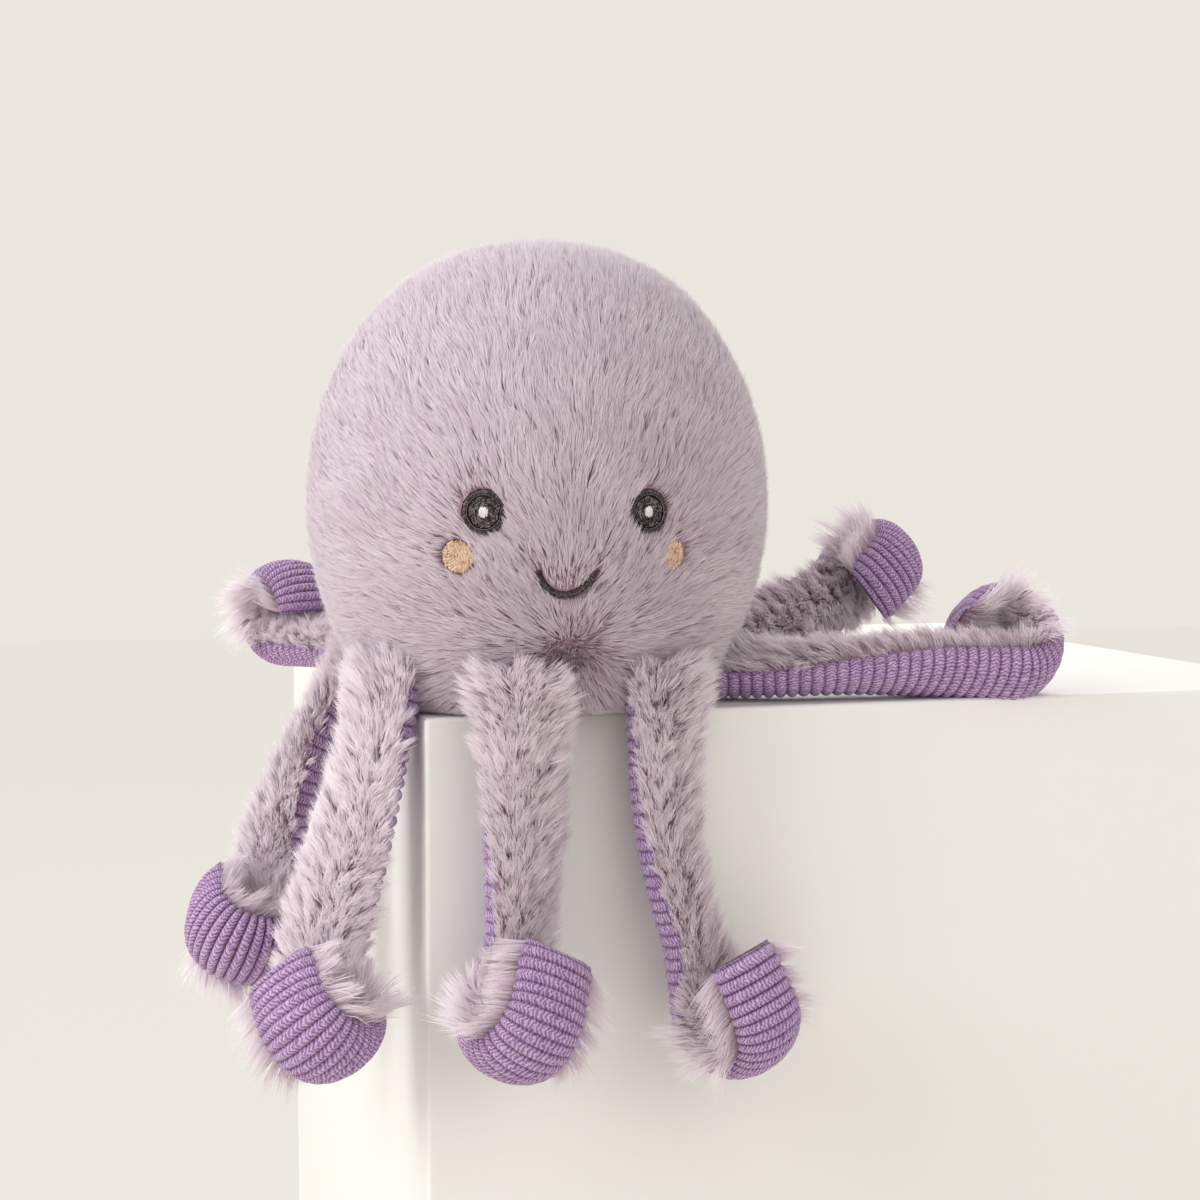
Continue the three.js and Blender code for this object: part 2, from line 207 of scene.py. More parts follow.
# %% The small shapes that pile and thread repeat
def strip_shape(wide, long, pointed=False):
    """Each corner's side (-1 to 1) and share of the length, and the faces, of a blunt or pointed strip."""
    bm = bmesh.new()
    bmesh.ops.create_grid(bm, x_segments=wide, y_segments=long, size=0.5)
    if pointed:
        far = [v for v in bm.verts if v.co.y > 0.5 - 0.5 / long]
        bmesh.ops.pointmerge(bm, verts=far, merge_co=(0, 0.5, 0))
    bm.verts.index_update()
    corners = [(2 * v.co.x, v.co.y + 0.5) for v in bm.verts]
    faces = [[v.index for v in face.verts] for face in bm.faces]
    bm.free()
    return np.array(corners), faces


blade = strip_shape(1, 2, pointed=True)
stitch = strip_shape(2, 4)
print("blades of", len(blade[1]), "faces and stitches of", len(stitch[1]))


# %% Arithmetic on arrays of directions
def unit(vectors):
    return vectors / np.maximum(np.linalg.norm(vectors, axis=-1, keepdims=True), 1e-9)


def along_surface(vectors, normals):
    """The unit directions of vectors once they are laid flat on a surface with these normals."""
    return unit(vectors - normals * np.sum(vectors * normals, axis=-1, keepdims=True))


def turned(vectors, sideways, angle):
    """Vectors turned towards a direction across them."""
    return unit(vectors * np.cos(angle)[:, None] + sideways * np.sin(angle)[:, None])


def smooth_step(low, high, values):
    share = np.clip((values - low) / (high - low), 0, 1)
    return share * share * (3 - 2 * share)


# %% Clumps of fibres
def clump_leaders(root, area, spacing, random):
    """For each root, the row of the blade that leads its clump."""
    count = max(1, int(area / (spacing * spacing)))
    leaders = random.permutation(len(root))[:count]
    tree = KDTree(len(leaders))
    for place, leader in enumerate(leaders):
        tree.insert(root[leader], place)
    tree.balance()
    nearest = [tree.find(place)[1] for place in root]
    return leaders[nearest]


# %% A pile of blades from their roots
fibre_tones = (0.02, 0.98)


class Blades:
    """Arrays with a row for each blade. Angles are in degrees, the leans from upright at its root and tip."""

    def __init__(self, root, normal, flow, length, width, tone, twist, lean_start, lean_end):
        self.root = root
        self.normal = normal
        self.flow = flow
        self.length = length
        self.width = width
        self.tone = np.clip(tone, *fibre_tones)
        self.twist = np.radians(twist)
        self.start = turned(normal, flow, np.radians(lean_start))
        self.end = turned(normal, flow, np.radians(lean_end))
        self.pull = np.zeros_like(root)

    def middle(self, share):
        """The place on each blade's middle line at a share of its length."""
        path = self.start * share + (self.end - self.start) * (share * share / 2)
        return self.root + path * self.length[:, None] + self.pull * share ** 2

    def heading(self, share):
        """The way each blade points at a share of its length."""
        return self.start + (self.end - self.start) * share + self.pull * (2 * share / self.length[:, None])

    def gather(self, leader, share):
        """Leans each tip towards its leader's tip by a share of the way."""
        tips = self.middle(1.0)
        self.pull = (tips[leader] - tips) * np.asarray(share)[..., None]

    def select(self, kept):
        chosen = object.__new__(Blades)
        for name, values in vars(self).items():
            setattr(chosen, name, values[kept])
        return chosen


# %% One mesh from arrays of corners
map_margin = 0.01
blade_tone_width, thread_tone_width = 0.004, 0.01


def repeated_mesh(name, shape, corners, normals, tones, tone_width, material):
    """Repeats a small shape, with a row of corners, normals and a tone for each copy, mapped by the tone."""
    shape_corners, shape_faces = shape
    count = len(corners)
    places = np.empty((count, len(shape_corners), 2))
    places[:, :, 0] = tones[:, None] + tone_width * shape_corners[:, 0]
    places[:, :, 1] = map_margin + (1 - 2 * map_margin) * shape_corners[:, 1]
    starts = np.arange(count)[:, None] * len(shape_corners)
    ring = np.concatenate(shape_faces)
    totals = np.array([len(face) for face in shape_faces])
    first = np.cumsum(np.tile(totals, count)) - np.tile(totals, count)
    mesh = bpy.data.meshes.new(name)
    mesh.vertices.add(count * len(shape_corners))
    mesh.vertices.foreach_set("co", corners.astype(np.float32).ravel())
    mesh.loops.add(count * len(ring))
    mesh.loops.foreach_set("vertex_index", (starts + ring).astype(np.int32).ravel())
    mesh.polygons.add(count * len(totals))
    mesh.polygons.foreach_set("loop_start", first.astype(np.int32))
    mesh.update(calc_edges=True)
    mesh.polygons.foreach_set("use_smooth", np.ones(len(mesh.polygons), dtype=bool))
    layer = mesh.uv_layers.new(name=fibre_map)
    layer.data.foreach_set("uv", places[:, ring].astype(np.float32).ravel())
    if normals is not None:
        mesh.normals_split_custom_set_from_vertices(normals.reshape(-1, 3).astype(np.float32))
    mesh.materials.append(material)
    return mesh


def linked(name, data):
    made = bpy.data.objects.new(name, data)
    scene.collection.objects.link(made)
    return made


def shaped(name, bm, *materials):
    """The object of a finished bmesh, with its materials."""
    mesh = bpy.data.meshes.new(name)
    bm.to_mesh(mesh)
    bm.free()
    for material in materials:
        mesh.materials.append(material)
    return linked(name, mesh)


# %% Blades to a mesh
cloth_share = 0.85
root_width_factor, tip_width_factor = 0.7, 1.3
far_below = -1.0


def pile_object(name, blades, material, floor_level=far_below):
    """One mesh of all the blades, none below a floor. A corner that lies flat is shaded as the cloth is."""
    across = unit(np.cross(blades.flow, blades.normal))
    lifted = unit(np.cross(across, blades.start + blades.end))
    twisted = turned(across, lifted, blades.twist)
    corners = np.empty((len(blades.root), len(blade[0]), 3))
    normals = np.empty_like(corners)
    for place, (side, share) in enumerate(blade[0]):
        factor = root_width_factor + (tip_width_factor - root_width_factor) * share
        half_width = blades.width / 2 * factor * (share < 1)
        corners[:, place] = blades.middle(share) + twisted * (side * half_width)[:, None]
        facing = unit(np.cross(twisted, blades.heading(share)))
        flat = cloth_share * np.clip(np.sum(facing * blades.normal, axis=1), 0, 1)[:, None]
        normals[:, place] = unit(blades.normal * flat + facing * (1 - flat))
    corners[:, :, 2] = np.maximum(corners[:, :, 2], floor_level + blades.tone[:, None] * mm)
    mesh = repeated_mesh(name, blade, corners, normals, blades.tone, blade_tone_width, material)
    return linked(name, mesh)


# %% [markdown]
# ## The head
# The head is one stuffed ball, a little flattened at the crown and drawn in towards its flat seat. Its
# outline is two quarter ovals of different roundness, the same as in the solids. A formula for the outline
# lets every root and stitch be placed on it exactly, seen from outside, without a ray cast for each.

# %% Sizes of the head
head_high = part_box("head_cover_front")[1]
head_radius = head_high.x
head_height = head_high.z
widest_height = 75 * mm
panel_inset = 2.9 * mm
seat_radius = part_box("base_panel")[1].x + panel_inset
chin_power = 1.8
crown_power = 2.2
print("head", round(2 * head_radius / mm), "mm wide,", round(head_height / mm), "mm high")


def head_outline(turn):
    """Radius and height where the outline has turned by an angle from the widest line, crown positive."""
    chin = turn < 0
    power = np.where(chin, chin_power, crown_power)
    level = np.abs(np.cos(turn)) ** (2 / power)
    rise = np.abs(np.sin(turn)) ** (2 / power)
    radius = np.where(chin, seat_radius + (head_radius - seat_radius) * level, head_radius * level)
    height = np.where(chin, widest_height * (1 - rise), widest_height + (head_height - widest_height) * rise)
    return radius, height


def head_points(turn, azimuth):
    """Places and outward directions on the head. Azimuth 0 is the middle of the face."""
    small = 1e-4
    radius, height = head_outline(turn)
    next_radius, next_height = head_outline(turn + small)
    outward = np.stack([np.sin(azimuth), -np.cos(azimuth), np.zeros_like(azimuth)], axis=-1)
    up = np.array([0.0, 0.0, 1.0])
    slope = unit(np.stack([next_radius - radius, next_height - height], axis=-1))
    normal = unit(outward * slope[:, 1:2] - up * slope[:, 0:1])
    return outward * radius[:, None] + up * height[:, None], normal


# %% Turns at even heights, to find the turn for a height
even_turns = np.linspace(math.radians(-89), math.radians(90), 2000)
even_radii, even_heights = head_outline(even_turns)


def on_face(azimuth, height, sideways, upwards, lift):
    """Places and outward directions beside a point of the face as seen straight on, raised by a lift."""
    turn = np.interp(height + upwards, even_heights, even_turns)
    radius = np.interp(height + upwards, even_heights, even_radii)
    apart = np.arcsin(np.clip(sideways / radius, -1, 1))
    place, normal = head_points(turn, azimuth + apart)
    return place + normal * np.asarray(lift)[..., None], normal


# %% [markdown]
# ## The stitched face
# The eyes, cheeks and smile are machine embroidery. Each eye is a charcoal fill inside a ring of satin
# stitch, with a white glint, and the smile is two rows of satin stitch side by side. A thin paler line inside
# each ring and along the middle of the smile is the same charcoal thread with a painted highlight. A picture
# on the cloth could show that, but real stitches stand proud and catch the light, so each is a small
# arched strip of thread, laid in rows on a bed that fills the recess in the fur.

# %% Rayon thread, smoother than the fur
thread_surface = {"Roughness": 0.45, "Specular IOR Level": 0.15}
thread_colours = {
    "dark_thread": ("rayon_thread_charcoal", "#120a0c", "#1c1114", "#6e5f63", "#c6b6ba"),
    "white_thread": ("rayon_thread_white", "#c9c6cc", "#dcdadf", "#efedf0", "#ffffff"),
    "peach_thread": ("rayon_thread_peach", "#93603c", "#c9976b", "#ecccaa", "#f8e4cf"),
}
thread_materials = {
    slot: fibre_material(name, [(0.0, dark_root), (1.0, dark_tip)], [(0.0, pale_root), (1.0, pale_tip)],
                         thread_surface)
    for slot, (name, dark_root, dark_tip, pale_root, pale_tip) in thread_colours.items()}


# %% One stitch: a strip arched across and tucked in at both ends
thread_width = 0.44 * mm
thread_height = 0.42 * mm
thread_tones = (0.03, 0.97)
bed_lift = 0.15 * mm
bed_depth = 1.2 * mm
stitch_wander = 0.09
stitch_rise_shares = (-0.25, 0.35)
end_steepness = 6


def stitched(name, slot, azimuth, height, stitches, random):
    """A mesh of stitches: rows of sideways and upwards place, direction, length, width, tone and raise."""
    side, share = stitch[0].T
    columns = [np.array(column)[:, None] for column in zip(*stitches)]
    sideways, upwards, direction, length, width, tone, higher = columns
    direction = direction + random.normal(0, stitch_wander, direction.shape)
    along = (share - 0.5) * length
    across = side * width / 2
    u = sideways + along * np.cos(direction) - across * np.sin(direction)
    v = upwards + along * np.sin(direction) + across * np.cos(direction)
    arch = (1 - side ** 2) * (1 - (2 * share - 1) ** end_steepness)
    lift = bed_lift + higher + thread_height * (arch + random.uniform(*stitch_rise_shares, length.shape))
    place, _ = on_face(azimuth, height, u.ravel(), v.ravel(), lift.ravel())
    corners = place.reshape(len(stitches), len(side), 3)
    tones = np.clip(tone[:, 0], *thread_tones)
    return repeated_mesh(name, stitch, corners, None, tones, thread_tone_width, thread_materials[slot])


# %% The bed under the stitches: part of a ring, bent onto the head and given a thickness
bed_steps_around, bed_steps_across = 48, 4
merge_distance = 0.01 * mm
bed_tone = 0.02
sorting_direction = Vector((1, 13, 170))


def thread_bed(bm, azimuth, height, inner, outer, turn_low, turn_high):
    made = bmesh.ops.create_grid(bm, x_segments=bed_steps_around, y_segments=bed_steps_across,
                                 size=0.5)["verts"]
    layer = bm.loops.layers.uv.verify()
    flat = np.array([v.co for v in made])
    turn = turn_low + (0.5 - flat[:, 0]) * (turn_high - turn_low)
    reach = inner + (flat[:, 1] + 0.5) * (outer - inner)
    place, _ = on_face(azimuth, height, reach * np.cos(turn), reach * np.sin(turn),
                       np.full(len(made), bed_lift))
    for v, co in zip(made, place):
        v.co = co
    bmesh.ops.remove_doubles(bm, verts=made, dist=merge_distance)
    bmesh.ops.recalc_face_normals(bm, faces=bm.faces)
    bmesh.ops.solidify(bm, geom=bm.faces[:], thickness=bed_depth)
    bmesh.ops.recalc_face_normals(bm, faces=bm.faces)
    # Solidify lists the faces of its rim in another order each time, so all are sorted by place.
    bm.faces.sort(key=lambda face: face.calc_center_median().dot(sorting_direction))
    for face in bm.faces:
        face.smooth = True
        for number, loop in enumerate(face.loops):
            loop[layer].uv = (bed_tone + map_margin * (number % 2), bed_tone + map_margin * (number // 2))


def stitched_piece(name, node, slot, azimuth, height, bed, stitches, random):
    """Joins a bed and its stitches in one piece that stands for a node."""
    bm = bmesh.new()
    bm.loops.layers.uv.new(fibre_map)
    thread_bed(bm, azimuth, height, *bed)
    threads = stitched(f"{name}_threads", slot, azimuth, height, stitches, random)
    bm.from_mesh(threads)
    bpy.data.meshes.remove(threads)
    piece = shaped(name, bm, thread_materials[slot])
    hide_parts(node)
    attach(piece, "head")
    print(name, len(stitches), "stitches,", len(piece.data.polygons), "faces")


# %% Rows of stitches for a ring, a round fill and an upright fill
satin_pitch_share, fill_pitch_share, upright_pitch_share = 0.72, 0.85, 0.8
outline_stitch, outline_pitch = 1.5 * mm, 1.2 * mm
# The charcoal thread of the thin line is painted paler: a painted highlight.
highlight_line_tone = 0.55
fill_stitch, fill_pitch = 1.4 * mm, 1.1 * mm
quarter_turn = math.pi / 2
full_turn = 2 * math.pi


def on_ring(radius, turn):
    return radius * math.cos(turn), radius * math.sin(turn)


def satin_ring(radius, length, turn_low, turn_high, slant, tone, random):
    """Short stitches side by side across a ring."""
    count = int(abs(turn_high - turn_low) * radius / (satin_pitch_share * thread_width))
    return [(*on_ring(radius, turn), turn + slant, length * random.uniform(0.75, 1.25), thread_width,
             tone + abs(random.normal(0, 0.22)), 0) for turn in np.linspace(turn_low, turn_high, count)]


def painted_highlight_line(radius, turn_low, turn_high):
    """One thin line of the charcoal thread, painted paler as a painted highlight, that runs round, end to end.
    """
    return [(*on_ring(radius, turn), turn + quarter_turn, outline_stitch, 0.5 * thread_width, highlight_line_tone,
             0.8 * thread_height) for turn in np.arange(turn_low, turn_high, outline_pitch / radius)]


def round_fill(inner, outer, random):
    """Rings of stitches that run round and a little across."""
    rows = []
    for radius in np.arange(inner, outer, fill_pitch_share * thread_width):
        count = int(full_turn * radius / fill_pitch)
        first = random.uniform(0, full_turn)
        for turn in first + np.arange(count) * full_turn / count:
            rows.append((*on_ring(radius, turn), turn + quarter_turn + random.normal(0, 0.7), fill_stitch,
                         thread_width, abs(random.normal(0.05, 0.38)), 0))
    return rows


def satin_oval(half_width, half_height, random):
    """Upright stitches side by side, each from edge to edge of an oval."""
    rows = []
    for share in np.arange(-0.85, 0.86, 0.2):
        length = 2 * half_height * math.sqrt(1 - share ** 2) + 0.3 * mm
        rows.append((share * half_width, 0.0, quarter_turn, length, thread_width,
                     0.75 + random.normal(0, 0.15), 0))
    return rows


def upright_fill(radius, length, random):
    """Columns of upright stitches inside a disc, each column shifted along from the last."""
    rows = []
    for number, x in enumerate(np.arange(-radius, radius, upright_pitch_share * thread_width)):
        half = radius * math.sqrt(max(0, 1 - (x / radius) ** 2))
        for y in np.arange(-half + length / 3, half, 0.85 * length) + (number % 3) * length * 0.28:
            if abs(y) < half:
                rows.append((x, y, quarter_turn + random.normal(0, 0.12), length * random.uniform(0.8, 1.1),
                             thread_width, 0.75 + random.normal(0, 0.32), 0))
    return rows


# %% Eyes, cheeks and smile in thread
eye_height = 74.8 * mm
eye_azimuth = math.radians(19.8)
eye_radius = 7.4 * mm
ring_width = 1.1 * mm
ring_stitch = 1.6 * mm
fill_gap = 0.35 * mm
glint_width, glint_height = 1.7 * mm, 1.9 * mm
cheek_height = 59 * mm
cheek_azimuth = math.radians(26.5)
cheek_radius = 5.8 * mm
cheek_stitch = 1.25 * mm
smile_height = 55.9 * mm
smile_radius = 10.0 * mm
smile_half_turn = math.radians(73)
smile_width = 2.1 * mm
smile_azimuth = math.radians(-0.6)
sewing = np.random.default_rng(3)

ring_radius = eye_radius - ring_width / 2
fill_radius = eye_radius - ring_width - fill_gap
for side, sign in (("left", -1), ("right", 1)):
    azimuth = sign * eye_azimuth
    stitched_piece(f"stitched_eye_ring_{side}", f"eye_ring_{side}", "dark_thread", azimuth, eye_height,
                   (eye_radius - ring_width, eye_radius, 0, full_turn),
                   satin_ring(ring_radius, ring_stitch, 0, full_turn, 0.35, 0.08, sewing)
                   + painted_highlight_line(ring_radius - 0.8 * mm, 0, full_turn), sewing)
    stitched_piece(f"stitched_eye_{side}", f"eye_{side}", "dark_thread", azimuth, eye_height,
                   (0.9 * glint_width, fill_radius, 0, full_turn),
                   round_fill(1.15 * glint_height, fill_radius - 0.4 * mm, sewing), sewing)
    stitched_piece(f"stitched_glint_{side}", f"eye_glint_{side}", "white_thread", azimuth, eye_height,
                   (0, glint_width, 0, full_turn),
                   satin_oval(glint_width, glint_height, sewing), sewing)
    stitched_piece(f"stitched_cheek_{side}", f"cheek_{side}", "peach_thread", sign * cheek_azimuth,
                   cheek_height, (0, cheek_radius, 0, full_turn),
                   upright_fill(cheek_radius, cheek_stitch, sewing), sewing)

smile_low, smile_high = -quarter_turn - smile_half_turn, -quarter_turn + smile_half_turn
smile_rows = []
for offset_share, slant in ((-0.27, 0.25), (0.27, -0.25)):
    smile_rows += satin_ring(smile_radius + offset_share * smile_width, 0.62 * smile_width,
                             smile_low, smile_high, slant, 0.1, sewing)
# A painted highlight along the middle of the smile.
smile_rows += painted_highlight_line(smile_radius, smile_low, smile_high)
stitched_piece("stitched_smile", "smile", "dark_thread", smile_azimuth, smile_height,
               (smile_radius - smile_width / 2, smile_radius + smile_width / 2, smile_low, smile_high),
               smile_rows, sewing)

# %% [markdown]
# ## Where the head's pile grows
# The pile covers the whole head but for the stitches, and it lies short beside them, because a seamstress
# trims it there. Roots are spread at random by area. The pile stands on end at the chin, where painted shade
# darkens it, and is combed away from it on all sides, up over the face and round the sides, and it meets in a
# whorl at the back.

# %% The round stitched shapes that the pile leaves free
covered_edge = 2.0 * mm
free_cheek_radius = cheek_radius - 0.7 * covered_edge
far_away = 1.0
stitched_discs = []
for azimuth, height, sideways, radius in ((-eye_azimuth, eye_height, 0, eye_radius),
                                          (eye_azimuth, eye_height, 0, eye_radius),
                                          (-cheek_azimuth, cheek_height, 0, cheek_radius),
                                          (cheek_azimuth, cheek_height, covered_edge, free_cheek_radius)):
    middle, _ = on_face(azimuth, height, np.full(1, sideways), np.zeros(1), np.zeros(1))
    stitched_discs.append((middle[0], radius))


def stitch_gap(places):
    """How far each place is from the nearest stitched edge, negative inside it."""
    gaps = [np.linalg.norm(places - middle, axis=1) - radius for middle, radius in stitched_discs]
    x = places[:, 0]
    z = places[:, 2] - smile_height
    turn = np.clip(np.arctan2(x, -z), -smile_half_turn, smile_half_turn)
    off = np.hypot(x - smile_radius * np.sin(turn), z + smile_radius * np.cos(turn))
    gaps.append(np.where(places[:, 1] < 0, off - smile_width / 2, far_away))
    return np.min(gaps, axis=0)


# %% The limbs' places, which the head's pile leaves free
limb_names = ["front_left", "front_right", "right_front", "right_back",
              "back_right", "back_left", "left_back", "left_front"]
ring_angle = math.radians(-12.5)
hinge_share = 0.6
hinge_radius = seat_radius + (head_radius - seat_radius) * hinge_share
limb_half_width = 15 * mm
limb_half_thickness = 9 * mm
limb_clearance = 1 * mm
hinge_height = limb_half_thickness + limb_clearance
opening_reach = 40 * mm
opening_half_width = limb_half_width - 4 * mm
opening_height = 1.7 * hinge_height


def limb_azimuth(name):
    return ring_angle + limb_names.index(name) * full_turn / len(limb_names)


def over_limb(root):
    """True for roots inside the openings where the limbs enter the head."""
    inside = np.zeros(len(root), dtype=bool)
    for name in limb_names:
        azimuth = limb_azimuth(name)
        out = root @ np.array([math.sin(azimuth), -math.cos(azimuth), 0])
        side = np.abs(root @ np.array([math.cos(azimuth), math.sin(azimuth), 0]))
        inside |= (out > opening_reach) & (side < opening_half_width) & (root[:, 2] < opening_height)
    return inside


# %% Roots spread evenly over the head
lowest_turn = math.radians(-82)
bare_edge = 0.1 * mm
bare_skirt = 5 * mm


def head_roots(density, random):
    """Places and outward directions of roots, spread by the area of 600 narrow bands, and the head's area."""
    turns = np.linspace(lowest_turn, quarter_turn, 600)
    radius, height = head_outline(turns)
    lengths = np.hypot(np.diff(radius), np.diff(height))
    bands = np.concatenate([[0], np.cumsum(lengths * (radius[1:] + radius[:-1]) / 2)])
    area = bands[-1] * full_turn
    count = int(area * density)
    turn = np.interp(random.random(count) * bands[-1], bands, turns)
    azimuth = random.random(count) * full_turn - math.pi
    surface, normal = head_points(turn, azimuth)
    kept = (stitch_gap(surface) > bare_edge) & ~over_limb(surface) & (surface[:, 2] > bare_skirt)
    return surface[kept], normal[kept], area


# %% The zones of the head, where its pile lies in ways of its own
chin_azimuth = math.radians(4)
chin_reach = 76 * mm
chin_height = 17 * mm
chin_point = np.array([chin_reach * math.sin(chin_azimuth), -chin_reach * math.cos(chin_azimuth),
                       chin_height])


def waves(places, *directions):
    """A slow ripple over the surface, between -1 and 1."""
    return np.prod([np.sin(places @ np.array(direction) + 1) for direction in directions], axis=0)


def head_zones(surface, normal):
    """How far each root belongs to each zone, from 0 to 1. At the whorl the way from the chin points out."""
    from_chin = np.linalg.norm(surface - chin_point, axis=1)
    from_chin += 3 * mm * waves(surface, [500, 200, 400], [-300, 400, 500])
    straight_out = np.sum(unit(surface - chin_point) * normal, axis=1)
    behind = smooth_step(-50 * mm, 35 * mm, surface[:, 1])
    return {"chin": smooth_step(17 * mm, 7 * mm, from_chin),
            "skirt": smooth_step(24 * mm, 8 * mm, surface[:, 2]),
            "behind": behind, "crown": smooth_step(0.4, 0.95, normal[:, 2]) * (1 - behind),
            "whorl": smooth_step(0.93, 1.0, straight_out), "eye": smooth_step(0.998, 1.0, straight_out)}


def stitch_zones(surface, flow):
    """How far each blade lies beside the stitches and leads in to them, or out from them."""
    gap = stitch_gap(surface)
    beside = 1 - smooth_step(0, 7 * mm, gap)
    slope = (stitch_gap(surface + flow * mm) - gap) / mm
    return {"leading_in": beside * smooth_step(0.0, -0.5, slope),
            "leading_out": beside * smooth_step(0.0, 0.5, slope)}


# %% Random measures for each blade
def measured(spread, zones, random, less, more=None):
    """A measure between two values at random. Each zone takes a share off it, then adds its own amount."""
    values = random.uniform(*spread, len(zones["chin"]))
    for zone, share in less.items():
        values = values * (1 - share * zones[zone])
    for zone, amount in (more or {}).items():
        values = values + amount * zones[zone]
    return values


def varied(own, shared, leader, random):
    """A random shift for each blade: its own and one that it shares with its clump."""
    count = len(leader)
    return random.normal(0, own, count) + random.normal(0, shared, count)[leader]


# %% The head's pile, with lengths in metres and leans in degrees from upright
clump_spacing = 2.6 * mm
pile_depth = 1.8 * mm
head_blade_length = (9 * mm, 12 * mm)
head_blade_width = (0.28 * mm, 0.44 * mm)
trim_depth = 1.4 * mm
gathering = 0.16


def head_pile(density, random):
    surface, normal, area = head_roots(density, random)
    count = len(surface)
    leader = clump_leaders(surface, area, clump_spacing, random)
    zones = head_zones(surface, normal)
    chin, eye, behind = zones["chin"], zones["eye"], zones["behind"]
    angle = 0.3 * waves(surface, [95, 40, 70], [-60, 110, 90]) + varied(0.12, 0.14, leader, random)
    angle += 1.3 * zones["whorl"] + (chin + eye) * random.normal(0, 0.8, count)
    combed = along_surface(surface - chin_point, normal)
    flow = turned(combed, np.cross(combed, normal), angle)
    zones.update(stitch_zones(surface, flow))
    length = measured(head_blade_length, zones, random,
                      {"chin": 0.35, "leading_in": 0.55, "leading_out": 0.3})
    length *= 1 + 0.25 * (zones["skirt"] + zones["crown"])
    lean_start = measured((28, 52), zones, random, {"chin": 0.85, "skirt": 0.5, "crown": 0.4},
                          {"leading_in": 15, "leading_out": -30, "behind": 26, "eye": -30})
    lean_end = measured((70, 87), zones, random, {"chin": 0.65, "skirt": 0.25, "crown": 0.2},
                        {"leading_out": -18, "behind": 9, "eye": -15})
    # Painted shade: blades near the chin, where the pile stands on end and the gaps between fibres show, are
    # darker.
    tone = 0.6 + varied(0.19, 0.06, leader, random) - 0.4 * chin
    tone += 0.07 * waves(surface, [130, -90, 160], [-110, 150, 60])
    depth = pile_depth * (1 - 0.9 * behind)
    blades = Blades(surface - normal * depth[:, None], normal, flow, length,
                    random.uniform(*head_blade_width, count), tone, random.normal(0, 20, count),
                    lean_start, lean_end)
    blades.gather(leader, gathering)
    over = np.min([stitch_gap(blades.middle(share)) for share in (0.4, 0.6, 0.8, 1.0)], axis=0) < 0.0
    blades.length = np.where(over, blades.length * 0.5, blades.length)
    blades.pull = np.where(over[:, None], 0, blades.pull)
    return blades.select(stitch_gap(blades.middle(1.0)) > random.uniform(-trim_depth, 0, count))


# %% Grow the head's pile, in six pieces so that none holds too many faces
combing = np.random.default_rng(8)
head_blades_each_square_metre = 3.7e6
head_blades = head_pile(head_blades_each_square_metre, combing)
sectors = 6
around_head = np.arctan2(head_blades.root[:, 0], -head_blades.root[:, 1]) / full_turn + 0.5
for sector in range(sectors):
    chosen = np.floor(around_head * sectors).astype(int) % sectors == sector
    pile = pile_object(f"head_pile_{sector + 1}", head_blades.select(chosen), head_pile_material,
                       floor_level=0.2 * mm)
    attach(pile, "head")
    print(pile.name, len(pile.data.polygons), "faces")

# %% [markdown]
# ## The head's backing
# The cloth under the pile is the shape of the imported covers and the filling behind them, so the openings for
# the limbs show cloth and not fibre. It is one merged copy of those solids.

# %% The stuffed backing of the head
def merged_copy(name, nodes, material):
    bm = bmesh.new()
    for node in nodes:
        bm.from_mesh(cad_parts[node].data)
    bmesh.ops.remove_doubles(bm, verts=bm.verts, dist=merge_distance)
    return shaped(name, bm, material)


head_backing = merged_copy("head_backing", ["head_cover_front", "head_cover_back", "head_filling"],
                           shaded_backing_material)
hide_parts("head_cover_front", "head_cover_back", "head_filling")
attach(head_backing, "head")
print("head backing", len(head_backing.data.polygons), "faces")

# %% [markdown]
# ## The limbs
# A limb is sewn from two long strips, so its cross-section is a flat oval with a seam at each side. Bending
# a finished straight limb with a modifier would need a rig for each one. Here every point of a limb is given
# by how far along it lies, how far across and how far up, and a list of frames, each one a small turn on from
# the last, carries it to its place. The angles are the same as in the solids.

# %% How each limb lies
root_length = 24 * mm
span_length = 68 * mm
hook_length = 28 * mm
curl_radius = 15 * mm
tip_length = 18 * mm
tip_rounding = 6 * mm
tip_seam_share = 0.08
strides_each_step = 6
root_width_share = 0.94

# Each limb's length share and tip share, then its drop, lean, bow, hook and curl, and its twists along the
# root, the span and the hook, in degrees.
limb_turns = {
    "front_left": (0.94, 1.1, 90, -5, 0, -25, 195, (-30, -40, 34)),
    "front_right": (1.02, 1.1, 90, 9, 14, 0, 190, (-8, -27, 35)),
    "right_front": (0.98, 0.7, -2, 18, 0, 0, 215, (0, -38, 0)),
    "right_back": (1.05, 1.0, -10, 6, 0, 24, 195, (0, 75, 0)),
    "back_right": (1.0, 0.5, 0, 0, 0, 0, 220, (0, 0, 0)),
    "back_left": (0.88, 0.15, 0, 0, 0, 0, 262, (0, 0, 0)),
    "left_back": (0.92, 0.9, 58, 0, -18, 74, 205, (0, -45, 0)),
    "left_front": (1.02, 0.9, 74, -12, -6, 56, 205, (0, -28, 0)),
}

# Each stretch of a limb: its steps, and the share of its half width and half thickness at its far end.
stretches = {"root": (2, 0.96, 1.0), "span": (3, 0.98, 0.94), "hook": (3, 1.06, 1.1), "curl": (7, 1.0, 0.74),
             "tip": (1, 1.0, 0.56)}


